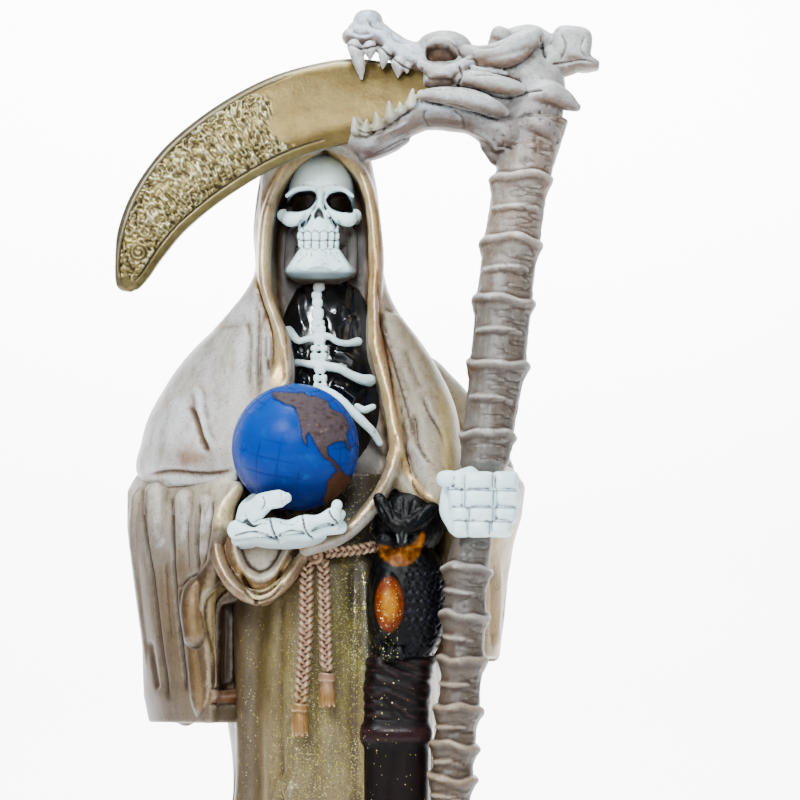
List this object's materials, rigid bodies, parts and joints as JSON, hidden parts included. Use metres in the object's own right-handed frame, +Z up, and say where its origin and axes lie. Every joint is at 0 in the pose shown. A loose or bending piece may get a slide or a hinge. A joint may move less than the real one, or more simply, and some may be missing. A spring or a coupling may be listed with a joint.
{
  "type": "santa muerte statue",
  "caption": "Painted resin statue of a hooded skeleton in a long robe, holding a blue globe and a scythe with a horned skull and a golden blade, an owl at its side.",
  "frame": {"origin": "on the flat underside of the base, under the figure's body", "axes": "+Z up, the face looks along -Y, +X to the side of the scythe"},
  "size_m": [0.2343, 0.1792, 0.5916],
  "materials": {
    "robe": "painted resin, aged beige with bronze edges",
    "bone": "painted resin, bone with a brown wash",
    "globe": "glossy blue paint with brown land"
  },
  "bodies": {
    "root": {"figure": "robe", "scythe": "bone", "globe": "globe"}
  },
  "joints": []
}
